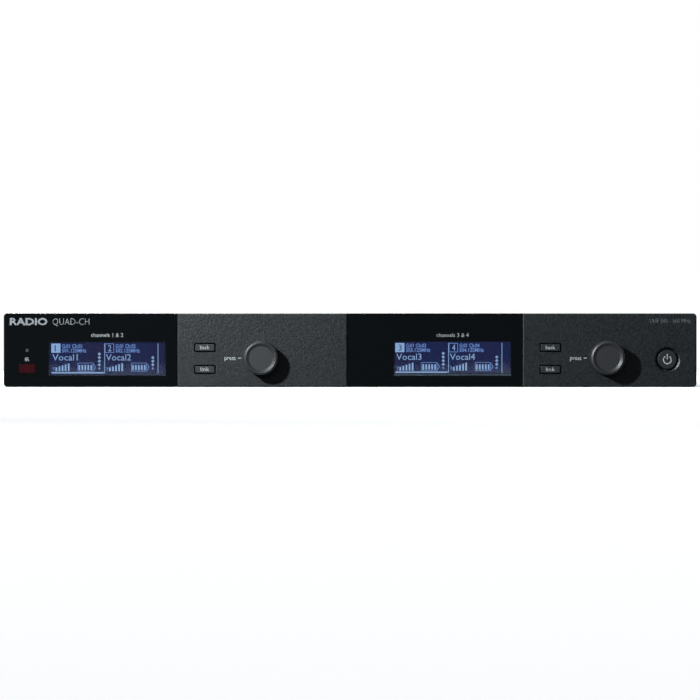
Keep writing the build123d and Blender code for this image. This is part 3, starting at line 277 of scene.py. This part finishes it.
def hoop(x0, x1, z0, z1, line, near, far):
    """The four bars of a rectangular outline whose line is drawn inside its corners."""
    return [
        bar(x0, x1, z0, z0 + line, near, far),
        bar(x0, x1, z1 - line, z1, near, far),
        bar(x0, x0 + line, z0 + line, z1 - line, near, far),
        bar(x1 - line, x1, z0 + line, z1 - line, near, far),
    ]


def diamond(x, z, half, near, far):
    """A square that stands on a corner: half is the distance from its centre to a corner."""
    return prism([(x + half, z), (x, z + half), (x - half, z), (x, z - half)], near, far)


def mesh_points(mesh):
    """A mesh's points as an array of x, y and z."""
    points = np.empty(len(mesh.vertices) * 3)
    mesh.vertices.foreach_get("co", points)
    return points.reshape(-1, 3)


def lettering(words, x, base, near, far, width, cap, stroke=0.0, align="CENTER"):
    """Points and faces of printed words, scaled to a width and to the height of their capitals.

    x is their middle, or their left end where align is "LEFT", and base is the line they stand on. The
    built-in font's outline is made a solid half a unit each way. Then its three axes are scaled and turned so
    that it reads from the side of y near. stroke thickens the strokes, in the font's own units.
    """
    curve = bpy.data.curves.new("words", "FONT")
    curve.body = words
    curve.offset = stroke
    curve.extrude = 0.5
    curve.resolution_u = 2
    holder = bpy.data.objects.new("words", curve)
    mesh = bpy.data.meshes.new_from_object(holder)
    points = mesh_points(mesh)
    faces = [tuple(face.vertices) for face in mesh.polygons]
    bpy.data.objects.remove(holder)
    bpy.data.curves.remove(curve)
    bpy.data.meshes.remove(mesh)
    font_cap = 0.682  # a capital's height in the built-in font
    start, end = points[:, 0].min(), points[:, 0].max()
    anchor = start if align == "LEFT" else (start + end) / 2
    facing = np.sign(far - near)
    across = x + facing * (points[:, 0] - anchor) * width / (end - start)
    up = base + points[:, 1] * cap / font_cap
    along = (near + far) / 2 - facing * points[:, 2] * abs(far - near)
    return np.column_stack([across, along, up]), faces


def put_together(name, shapes, material, body):
    """One object from several closed shapes, given as points and faces, that rides on a CAD body."""
    starts = np.cumsum([0] + [len(points) for points, _ in shapes[:-1]])
    points = np.concatenate([points for points, _ in shapes])
    faces = [[int(i + start) for i in face] for start, (_, found) in zip(starts, shapes) for face in found]
    mesh = bpy.data.meshes.new(name)
    mesh.from_pydata(points, [], faces)
    work = bmesh.new()
    work.from_mesh(mesh)
    bmesh.ops.remove_doubles(work, verts=work.verts, dist=0.0005 * mm)
    work.to_mesh(mesh)
    work.free()
    mesh.materials.append(material)
    made = bpy.data.objects.new(name, mesh)
    bpy.context.scene.collection.objects.link(made)
    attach(made, body)


window_loss = 1.09  # how much more light the displays give off, to make up for what the panes take away


def glowing(name, code):
    """A lit display colour: a matt black that gives off one colour."""
    light = {"Emission_Color": linear(code), "Emission_Strength": window_loss}
    return new_finish(name, "#04060b", roughness=0.5, Specular_IOR_Level=0.0, **light)


field_code = "#1f2145"
display_blue = glowing("display_blue_print", field_code)
patch_width, patch_height = 16.667 * mm, 11.111 * mm
patch_codes = ("#1a2049", "#241f42")
edge_light = 0.15  # the share of its light that the field keeps at its very edge


def display_field(name, middle, reach, soft):
    """The dark blue of one display, in slow patches, that fades out within a soft border at its four edges.

    On each axis the fade is a smooth step of the distance from the display's middle; the two are multiplied.
    """
    made = glowing(name, field_code)
    tree = made.node_tree
    shader = tree.nodes["Principled BSDF"]
    place = add_node(tree, "ShaderNodeTexCoord").outputs["Object"]
    per_patch = (1 / patch_width, 1 / patch_width, 1 / patch_height)
    patches = add_node(tree, "ShaderNodeMapping", {"Vector": place, "Scale": per_patch})
    noise = add_node(tree, "ShaderNodeTexNoise", {"Vector": patches.outputs[0], "Scale": 1.0, "Detail": 1.0})
    ramp = add_node(tree, "ShaderNodeValToRGB", {"Fac": noise.outputs[0]})
    for stop, height, code in zip(ramp.color_ramp.elements, (0.35, 0.65), patch_codes):
        stop.position = height
        stop.color = linear(code)
    tree.links.new(ramp.outputs[0], shader.inputs["Emission Color"])
    axes = add_node(tree, "ShaderNodeSeparateXYZ", {"Vector": place})
    fades = []
    for axis, centre, half in ((0, middle[0], reach[0]), (2, middle[1], reach[1])):
        offset = add_node(tree, "ShaderNodeMath", {0: axes.outputs[axis], 1: centre}, operation="SUBTRACT")
        distance = add_node(tree, "ShaderNodeMath", {0: offset.outputs[0]}, operation="ABSOLUTE")
        steps = {"Value": distance.outputs[0], 1: half - soft, 2: half, 3: 1.0, 4: edge_light}
        fade = add_node(tree, "ShaderNodeMapRange", steps, interpolation_type="SMOOTHSTEP")
        fades.append(fade.outputs[0])
    both = add_node(tree, "ShaderNodeMath", {0: fades[0], 1: fades[1]}, operation="MULTIPLY")
    strength = add_node(tree, "ShaderNodeMath", {0: both.outputs[0], 1: window_loss}, operation="MULTIPLY")
    tree.links.new(strength.outputs[0], shader.inputs["Emission Strength"])
    return made


display_marks = glowing("display_lit_marks", "#a2b8dd")
display_lines = glowing("display_pale_lines", "#a0b1d0")
display_fine_marks = glowing("display_fine_marks", "#7d95cf")

view_width = 70.0 * mm
view_height = 20.3 * mm
view_z = 16.9 * mm
field_overlap = 0.28 * mm  # how far the blue field goes on past the picture's edges
field_fade = 1.7 * mm
mark_depth = 0.02 * mm
channel_pitch = 32.0 * mm
# The right picture sits a little further left and higher in its frame than the left one does.
module_shift = {"left": 0.0, "right": -0.75 * mm}
module_rise = {"left": 0.0, "right": 0.35 * mm}
divider_x, end_line_x, line_width = 33.2 * mm, 65.1 * mm, 0.4 * mm
line_top, line_foot = 1.0 * mm, 18.9 * mm

# Each half's marks are set out in millimetres, right of and down from the half's upper left corner.
number_left, number_right, number_top, number_foot = 1.5, 7.0, 1.1, 6.6
digit_left, digit_base, digit_cap, digit_width, one_width = 3.5, 5.7, 3.6, 1.9, 0.6
small_left, small_cap, small_stroke = 7.9, 2.2, 0.02
group_base, group_width = 3.7, 12.0
frequency_base, frequency_width = 6.4, 14.6
name_left, name_base, name_cap, name_width = 2.2, 11.2, 3.7, 15.0
underline_left, underline_right, underline_top, underline_foot = 1.7, 32.9, 18.15, 18.95
step_count, step_left, step_pitch, step_width = 5, 4.05, 1.84, 0.95
step_top, step_rise, step_foot = 15.4, 0.62, 17.6
mast_left, mast_right, mast_top = 2.9, 3.15, 15.6
mast_arms = [(2.1, 3.95, 15.4, 15.62), (2.45, 3.6, 16.0, 16.2)]
battery_left, battery_right, battery_top, battery_foot = 17.2, 26.6, 12.6, 17.8
battery_nose = [
    (0.0, 17.4), (1.3, 15.8), (1.3, 14.6), (0.0, 13.0),
    (0.0, 13.5), (0.9, 14.75), (0.9, 15.65), (0.0, 16.9),
]
cell_count, cell_left, cell_pitch, cell_width, cell_top, cell_foot = 5, 17.8, 1.775, 0.95, 13.9, 17.0
dot_x, dot_base, dot_pitch, dot_half, low_dot_half = 30.2, 13.8, 2.15, 1.0, 0.75
thin_line, hoop_line = 0.3, 0.35


def channel_marks(left, top, number, picked, lit_dots, near, far):
    """Bright, fine and pale marks of one channel's half of a display, and its digit if that is cut out."""

    def box(x0, x1, down0, down1):
        return bar(left + x0 * mm, left + x1 * mm, top - down1 * mm, top - down0 * mm, near, far)

    def outline(x0, x1, down0, down1, line):
        corners = (left + x0 * mm, left + x1 * mm, top - down1 * mm, top - down0 * mm)
        return hoop(*corners, line * mm, near, far)

    def words(text, x, down, width, cap, stroke=0.0):
        place = (left + x * mm, top - down * mm)
        return lettering(text, *place, near, far, width * mm, cap * mm, stroke, "LEFT")

    def level_dot(down, half):
        return diamond(left + dot_x * mm, top - down * mm, half * mm, near, far)

    pale = []
    bright = [words(f"Vocal{number}", name_left, name_base, name_width, name_cap)]
    group, frequency = f"G:01 Ch:0{number}", f"50{number}.125MHz"
    fine = [words(group, small_left, group_base, group_width, small_cap, small_stroke)]
    fine.append(words(frequency, small_left, frequency_base, frequency_width, small_cap, small_stroke))
    width = one_width if number == 1 else digit_width
    digit = words(str(number), digit_left, digit_base, width, digit_cap)
    number_box = (number_left, number_right, number_top, number_foot)
    if picked:
        bright.append(box(*number_box))
        pale.append(box(underline_left, underline_right, underline_top, underline_foot))
    else:
        fine += outline(*number_box, hoop_line)
        bright.append(digit)
    for step in range(step_count):
        x = step_left + step * step_pitch
        bright.append(box(x, x + step_width, step_top - step * step_rise, step_foot))
    fine.append(box(mast_left, mast_right, mast_top, step_foot))
    fine += [box(*arm) for arm in mast_arms]
    fine += outline(battery_left, battery_right, battery_top, battery_foot, thin_line)
    nose = [(left + (battery_right + x) * mm, top - down * mm) for x, down in battery_nose]
    fine.append(prism(nose, near, far))
    for cell in range(cell_count):
        x = cell_left + cell * cell_pitch
        bright.append(box(x, x + cell_width, cell_top, cell_foot))
    for dot in range(lit_dots):
        pale.append(level_dot(dot_base - dot * dot_pitch, dot_half))
    fine.append(level_dot(dot_base + dot_pitch, low_dot_half))
    return bright, fine, pale, (digit if picked else None)


for side, first in (("left", 1), ("right", 3)):
    frame_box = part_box(f"lcd_frame_{side}")
    glass_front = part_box(f"lcd_glass_{side}")[0].y
    middle_x = (frame_box[0].x + frame_box[1].x) / 2
    middle_z = (frame_box[0].z + frame_box[1].z) / 2
    reach_x = view_width / 2 + field_overlap
    reach_z = view_height / 2 + field_overlap
    field = bar(
        middle_x - reach_x, middle_x + reach_x, middle_z - reach_z, middle_z + reach_z,
        glass_front - mark_depth, glass_front - 0.2 * mark_depth,
    )
    centre, reach = (middle_x, middle_z), (reach_x, reach_z)
    field_blue = display_field(f"display_blue_field_{side}", centre, reach, field_fade)
    put_together(f"display_field_{side}", [field], field_blue, "receiver")
    left = middle_x - view_width / 2 + module_shift[side]
    top = view_z + view_height / 2 + module_rise[side]
    near, far = glass_front - 3 * mark_depth, glass_front - 2 * mark_depth
    bright_shapes, fine_shapes, pale_shapes, digits = [], [], [], []
    for half in range(2):
        half_left = left + half * channel_pitch
        bright, fine, pale, digit = channel_marks(
            half_left, top, first + half, picked=half == 0, lit_dots=4 - half, near=near, far=far
        )
        bright_shapes += bright
        fine_shapes += fine
        pale_shapes += pale
        if digit:
            digits.append((digit[0] - np.array([0.0, 2 * mark_depth, 0.0]), digit[1]))
    for line_x in (left + divider_x, left + end_line_x):
        pale_shapes.append(bar(line_x, line_x + line_width, top - line_foot, top - line_top, near, far))
    put_together(f"display_marks_{side}", bright_shapes, display_marks, "receiver")
    put_together(f"display_lines_{side}", pale_shapes, display_lines, "receiver")
    put_together(f"display_fine_marks_{side}", fine_shapes, display_fine_marks, "receiver")
    put_together(f"display_digit_{side}", digits, display_blue, "receiver")

# ---------------------------------------------------------------------------------------- keys
# Four flat keys and the round power key, moulded in the same charcoal ABS but with a satin face, so that
# their edges catch a thin line of light.
satin_abs = new_finish("satin_key_abs", "#24282a", roughness=0.42)
grain(satin_abs, size=0.6 * mm, depth=0.008 * mm, colours=("#212527", "#272b2d"))
dress(satin_abs, "back_key_left", "back_key_right", "link_key_left", "link_key_right", "power_button")

# ---------------------------------------------------------------------------------------- dials
# Two tapered dials with a dished face. They are painted soft-touch over ABS: even, slightly glossy, and
# bright on the rim. Their shafts and encoder bodies are plated steel, and their plungers are acetal.
dial_paint = new_finish("dial_satin_paint", "#2c2d2f", roughness=0.43)
grain(dial_paint, size=0.5 * mm, depth=0.006 * mm, colours=("#292a2c", "#2f3032"))
dress(dial_paint, "knob_left", "knob_right")

# Zinc-plated and drawn: bright, with fine streaks along the drawing.
plated_steel = new_finish("bright_plated_steel", "#a9adb0", roughness=0.3, Metallic=1.0)
grain(plated_steel, size=0.4 * mm, depth=0.004 * mm, stretch=(1, 0.1, 1))
dress(
    plated_steel, "encoder_housing_left", "encoder_housing_right", "encoder_shaft_left",
    "encoder_shaft_right", "front_bracket", "ear_nuts", "board_standoffs", "fascia_screws", "board_screws",
    "connector_screws",
)

# Moulded acetal is smooth and slightly waxy.
black_acetal = new_finish("black_acetal", "#1a1b1d", roughness=0.45)
grain(black_acetal, size=0.8 * mm, depth=0.01 * mm)
dress(black_acetal, "encoder_plunger_left", "encoder_plunger_right", "push_switches")

# ---------------------------------------------------------------------------------------- legends
# Pale grey pad printing, a hair thick: a maker-neutral title and labels on the windows, and small words on
# the keypads and keys. The ink is matt, so it stays even where the plastic around it shines.
legend_ink = new_finish("pale_grey_print", "#b4b9bc", roughness=0.55)
grain(legend_ink, size=0.3 * mm, depth=0.003 * mm, colours=("#abb0b3", "#bcc1c4"))
# The title's ink is a middle grey, so it stands back beside the lit displays.
title_ink = new_finish("mid_grey_print", "#7c8286", roughness=0.5)
grain(title_ink, size=0.3 * mm, depth=0.003 * mm, colours=("#757b7f", "#83898d"))
# The frequency band is printed in a dark grey that hardly stands out.
faint_ink = new_finish("dark_grey_print", "#6f7477", roughness=0.55)
grain(faint_ink, size=0.3 * mm, depth=0.003 * mm, colours=("#696e71", "#757a7d"))
ink_depth = 0.015 * mm


def on_front(surface_y):
    """The two y values of a print on a surface that faces the front."""
    return surface_y - ink_depth, surface_y + 0.2 * ink_depth


near, far = on_front(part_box("display_window_left")[0].y)
title_z, title_cap = 37.1 * mm, 3.95 * mm
bold_x, bold_width, bold_stroke = front[0].x + 3.6 * mm, 22.6 * mm, 0.035
thin_x, thin_width, thin_stroke = front[0].x + 29.2 * mm, 22.0 * mm, -0.012
title = [
    lettering("RADIO", bold_x, title_z, near, far, bold_width, title_cap, bold_stroke, "LEFT"),
    lettering("QUAD-CH", thin_x, title_z, near, far, thin_width, title_cap, thin_stroke, "LEFT"),
]
put_together("title_print", title, title_ink, "receiver")

label_z, label_width, label_cap, label_stroke = 29.9 * mm, 19.2 * mm, 2.3 * mm, -0.008
labels = []
for side, words in (("left", "channels 1 & 2"), ("right", "channels 3 & 4")):
    frame_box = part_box(f"lcd_frame_{side}")
    middle_x = (frame_box[0].x + frame_box[1].x) / 2
    labels.append(lettering(words, middle_x, label_z, near, far, label_width, label_cap, label_stroke))
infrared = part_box("infrared_window")
infrared_x = (infrared[0].x + infrared[1].x) / 2
infrared_z, infrared_width, infrared_cap = 15.4 * mm, 2.3 * mm, 2.2 * mm
labels.append(
    lettering("IR", infrared_x, infrared_z, near, far, infrared_width, infrared_cap, label_stroke)
)
put_together("window_labels", labels, legend_ink, "receiver")

near, far = on_front(front_y)
press_left, press_drop, press_width, press_cap = 18.6 * mm, 1.2 * mm, 6.6 * mm, 2.6 * mm
dash_left, dash_half, dash_drop, dash_rise = 12.9 * mm, 1.0 * mm, 0.3 * mm, 0.2 * mm
pad_words = []
for side in ("left", "right"):
    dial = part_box(f"knob_{side}")
    dial_x, dial_z = (dial[0].x + dial[1].x) / 2, (dial[0].z + dial[1].z) / 2
    place = (dial_x - press_left, dial_z - press_drop)
    pad_words.append(lettering("press", *place, near, far, press_width, press_cap))
    dash_x = dial_x - dash_left
    dash_edges = (dash_x - dash_half, dash_x + dash_half, dial_z - dash_drop, dial_z + dash_rise)
    pad_words.append(bar(*dash_edges, near, far))
put_together("keypad_words", pad_words, legend_ink, "receiver")

band_x, band_z = front[1].x - 15.8 * mm, 38.3 * mm
band_width, band_cap, band_stroke = 24.4 * mm, 2.5 * mm, -0.014
band_words = lettering("UHF 500 - 560 MHz", band_x, band_z, near, far, band_width, band_cap, band_stroke)
put_together("band_words", [band_words], faint_ink, "receiver")

key_word_drop, key_word_cap = 1.05 * mm, 2.3 * mm
for side in ("left", "right"):
    for word, width in (("back", 5.6 * mm), ("link", 5.2 * mm)):
        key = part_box(f"{word}_key_{side}")
        near, far = on_front(key[0].y)
        middle = (key[0] + key[1]) / 2
        shape = lettering(word, middle.x, middle.z - key_word_drop, near, far, width, key_word_cap)
        put_together(f"{word}_word_{side}", [shape], legend_ink, f"{word}_button_{side}")

# The power symbol: most of a ring, open at the top, and an upright bar.
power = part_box("power_button")
power_x, power_z = (power[0].x + power[1].x) / 2, (power[0].z + power[1].z) / 2
near, far = on_front(power[0].y)
half_opening = radians(32)
sweep = np.linspace(np.pi / 2 + half_opening, 5 * np.pi / 2 - half_opening, 40)
ring_outer, ring_inner, ring_drop = 2.62 * mm, 2.05 * mm, 0.25 * mm
stem_half, stem_foot, stem_top = 0.29 * mm, 0.1 * mm, 3.2 * mm
arc = np.column_stack([np.cos(sweep), np.sin(sweep)])
ring_outline = np.concatenate([ring_outer * arc, ring_inner * arc[::-1]]) + (power_x, power_z - ring_drop)
symbol = [
    prism(ring_outline, near, far),
    bar(power_x - stem_half, power_x + stem_half, power_z + stem_foot, power_z + stem_top, near, far),
]
put_together("power_symbol", symbol, legend_ink, "power_switch")

# ---------------------------------------------------------------------------------------- steel case
# Base, cover and rear panel are folded steel sheet. Their fine black powder coat has a slight orange peel, so
# its gloss is uneven.
powder_coat = new_finish("black_powder_coat", "#1b1c1e", roughness=0.52, Specular_IOR_Level=0.4)
coat_noise = grain(powder_coat, size=1.6 * mm, depth=0.09 * mm, colours=("#141517", "#232427"), detail=4.0)
coat = powder_coat.node_tree
coat_gloss = add_node(coat, "ShaderNodeMapRange", {"Value": coat_noise.outputs[0], 3: 0.5, 4: 0.68})
coat.links.new(coat_gloss.outputs[0], coat.nodes["Principled BSDF"].inputs["Roughness"])
dress(powder_coat, "chassis_base", "top_cover", "rear_panel")

# Black passivated zinc: a dark metal with a slight sheen.
black_zinc = new_finish("black_zinc_screws", "#2a2b2d", roughness=0.35, Metallic=0.8)
grain(black_zinc, size=0.5 * mm, depth=0.006 * mm)
dress(black_zinc, "case_screws")

# ---------------------------------------------------------------------------------------- sockets
# Die-cast and turned shells with satin nickel plate stand in black nylon housings, with brass contacts.
# They come through the rear panel from their board, and nuts or screws hold them.

# Satin nickel is a warm grey metal with soft highlights.
nickel_plate = new_finish("satin_nickel_plate", "#b3aea4", roughness=0.28, Metallic=1.0)
grain(nickel_plate, size=0.7 * mm, depth=0.006 * mm)
dress(nickel_plate, "xlr_shells", "antenna_jacks", "antenna_nuts", "jack_nuts")

# Glass-filled nylon is dull black, with a faint roughness from its fibres.
socket_nylon = new_finish("glass_filled_nylon", "#17181a", roughness=0.5)
grain(socket_nylon, size=0.7 * mm, depth=0.012 * mm)
dress(socket_nylon, "xlr_inserts", "jack_bodies", "mains_inlet", "antenna_contacts")

# Turned brass with a bright plate: small sharp golden highlights.
contact_metal = new_finish("plated_contact_brass", "#c9a45c", roughness=0.22, Metallic=1.0)
grain(contact_metal, size=0.4 * mm, depth=0.003 * mm)
dress(contact_metal, "xlr_pins", "network_contacts", "mains_inlet_blades")

# Stamped sheet with a nickel plate: streaked along the rolling.
stamped_steel = new_finish("stamped_nickel_steel", "#a8abad", roughness=0.33, Metallic=1.0)
grain(stamped_steel, size=0.6 * mm, depth=0.005 * mm, stretch=(1, 0.2, 1))
dress(stamped_steel, "network_jack")


def centres(name, apart=6 * mm):
    """The middle x of each of a CAD node's solids that stand in a row, more than a distance apart in x."""
    places = np.sort(mesh_points(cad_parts[name].data)[:, 0])
    breaks = np.flatnonzero(np.diff(places) > apart) + 1
    return [(run[0] + run[-1]) / 2 for run in np.split(places, breaks)]


# Small words in the same pale print name the sockets. They are read from behind, so +X is on their left.
rear_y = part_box("rear_panel")[1].y
near, far = rear_y + ink_depth, rear_y - 0.2 * ink_depth
rear_word_z, rear_word_cap, socket_word_width = 34.0 * mm, 2.4 * mm, 8.4 * mm
rear_words = []


def name_socket(words, x, width=socket_word_width):
    """Adds small words above a socket."""
    rear_words.append(lettering(words, x, rear_word_z, near, far, width, rear_word_cap))


for number, x in enumerate(reversed(centres("jack_bodies")), start=1):
    name_socket(f"out {number}", x)
for number, x in enumerate(reversed(centres("antenna_jacks", 2 * mm)), start=1):
    name_socket(f"ant {number}", x)
network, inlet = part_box("network_jack"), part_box("mains_inlet")
name_socket("network", (network[0].x + network[1].x) / 2, 14.0 * mm)
name_socket("mains", (network[1].x + inlet[0].x) / 2, 10.5 * mm)
put_together("rear_words", rear_words, legend_ink, "receiver")

# ---------------------------------------------------------------------------------------- inside
# Three boards, their larger components and the wiring between them. Little of it shows, and only through the
# vents, so each keeps the plain finish of its real material.

# Green lacquer over copper and glass cloth: glossy, with slow changes of tone.
solder_resist = new_finish("green_solder_resist", "#12402a", roughness=0.35, IOR=1.5)
grain(solder_resist, size=2.0 * mm, depth=0.01 * mm, colours=("#0f3a25", "#164a31"))
dress(solder_resist, "front_board", "main_board", "supply_board")

# Filled epoxy is matt black and slightly gritty.
moulding_compound = new_finish("epoxy_moulding_compound", "#1b1c1e", roughness=0.6)
grain(moulding_compound, size=0.3 * mm, depth=0.01 * mm)
dress(moulding_compound, "infrared_transceiver", "signal_chips")

# A milky, smooth and slightly wavy sheet.
polyester_film = new_finish("polyester_film", "#c7c2ad", roughness=0.3)
grain(polyester_film, size=5.0 * mm, depth=0.02 * mm)
dress(polyester_film, "supply_insulator")

# Wound tape: yellow, glossy and wrinkled along its turns.
polyester_tape = new_finish("yellow_polyester_tape", "#a8902c", roughness=0.3)
grain(polyester_tape, size=1.5 * mm, depth=0.03 * mm, colours=("#9a8226", "#b59c36"), stretch=(0.3, 0.3, 1))
dress(polyester_tape, "transformer")

# Shrunk vinyl is dark blue and glossy, with slow dents.
vinyl_sleeve = new_finish("shrunk_vinyl_sleeve", "#1c2536", roughness=0.25)
grain(vinyl_sleeve, size=3.0 * mm, depth=0.02 * mm)
dress(vinyl_sleeve, "filter_capacitors")

# Extruded and anodised: a silvery satin with streaks along the extrusion.
anodised_aluminium = new_finish("clear_anodised_aluminium", "#b4b6b8", roughness=0.4, Metallic=1.0)
grain(anodised_aluminium, size=0.5 * mm, depth=0.01 * mm, stretch=(1, 1, 0.1))
dress(anodised_aluminium, "supply_heatsink")

# Soft grey vinyl whose ribs follow the wires' 1.27 mm spacing.
ribbon_vinyl = new_finish("grey_ribbon_vinyl", "#8a8c8e", roughness=0.5)
grain(ribbon_vinyl, size=1.27 * mm, depth=0.05 * mm, stretch=(1, 0.02, 0.02))
dress(ribbon_vinyl, "front_ribbon")

# Extruded vinyl: smooth and slightly glossy.
wire_vinyl = new_finish("wire_vinyl", "#6b1a18", roughness=0.4)
grain(wire_vinyl, size=1.0 * mm, depth=0.01 * mm)
dress(wire_vinyl, "supply_harness", "mains_wires")
